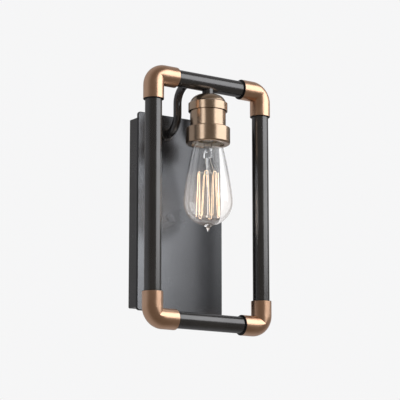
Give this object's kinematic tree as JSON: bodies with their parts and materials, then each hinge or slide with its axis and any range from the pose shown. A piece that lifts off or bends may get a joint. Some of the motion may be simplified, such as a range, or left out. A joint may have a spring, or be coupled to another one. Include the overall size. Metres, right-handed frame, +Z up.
{
  "type": "wall light",
  "caption": "Wall light: a rectangular pipe frame with elbows at its corners stands off a tall plate on bent arms, and a lamp holder hangs inside it with a bare screw-in lamp.",
  "frame": {"origin": "on the wall, midway between the two slots of the wall strap and at the middle of the front plate", "axes": "+Z up, +Y into the wall (the light projects towards -Y), +X to the right seen from the room"},
  "size_m": [0.1914, 0.1202, 0.3314],
  "materials": {
    "plate_black": "satin black powder coat",
    "pipe_black": "satin black lacquer",
    "aged_brass": "aged brass, brushed",
    "bronze": "champagne bronze, satin, spun",
    "zinc": "bright zinc plating",
    "fibre": "vulcanised fibre",
    "ceramic": "white glazed ceramic",
    "bright_brass": "bare brass",
    "copper": "bare copper",
    "black_insulation": "wire insulation",
    "white_insulation": "wire insulation",
    "connector": "moulded plastic",
    "lamp_brass": "pressed brass",
    "base_glass": "black glass",
    "solder": "solder",
    "lamp_glass": "clear blown glass",
    "mount_glass": "clear pressed glass",
    "nickel": "nickel wire",
    "filament": "glowing carbon filament"
  },
  "bodies": {
    "root": {"front_plate": "plate_black", "back_box": "plate_black", "plate_nuts": "zinc", "wall_strap": "zinc", "box_screws": "zinc", "ground_screws": "zinc", "ground_wire": "copper", "arm_left": "pipe_black", "arm_right": "pipe_black", "arm_collar_left": "pipe_black", "arm_collar_right": "pipe_black", "arm_washers": "zinc", "arm_nuts": "zinc", "top_pipe": "pipe_black", "bottom_pipe": "pipe_black", "left_pipe": "pipe_black", "right_pipe": "pipe_black", "elbow_top_left": "aged_brass", "elbow_top_right": "aged_brass", "elbow_bottom_left": "aged_brass", "elbow_bottom_right": "aged_brass", "socket_stem": "pipe_black", "stem_nut": "zinc", "socket_cap": "bronze", "socket_body": "bronze", "shade_ring": "bronze", "insulating_liner": "fibre", "socket_core": "ceramic", "screw_shell": "bright_brass", "contact_tongue": "bright_brass", "core_rivets": "bright_brass", "terminal_plates": "bright_brass", "terminal_screws": "bright_brass", "hot_wire": "black_insulation", "neutral_wire": "white_insulation", "wire_connectors": "connector"},
    "lamp_tip": {"lamp_contact": "solder"},
    "lamp": {"lamp_screw_base": "lamp_brass", "lamp_insulator": "base_glass", "glass_envelope": "lamp_glass", "glass_mount": "mount_glass", "support_wires": "nickel", "lead_wires": "nickel", "filament": "filament"}
  },
  "joints": [
    {"name": "lamp_travel", "type": "slide", "parent": "root", "child": "lamp_tip", "axis": [0, 0, -1], "range_m": [0, 0.01452]},
    {"name": "lamp_turn", "type": "hinge", "parent": "lamp_tip", "child": "lamp", "pos_m": [0, -0.0892, 0.1], "axis": [0, 0, -1], "range_deg": [0, 1440]}
  ],
  "couplings": [
    {"joint": "lamp_travel", "follows": "lamp_turn", "m_per_rad": 0.00057757}
  ]
}
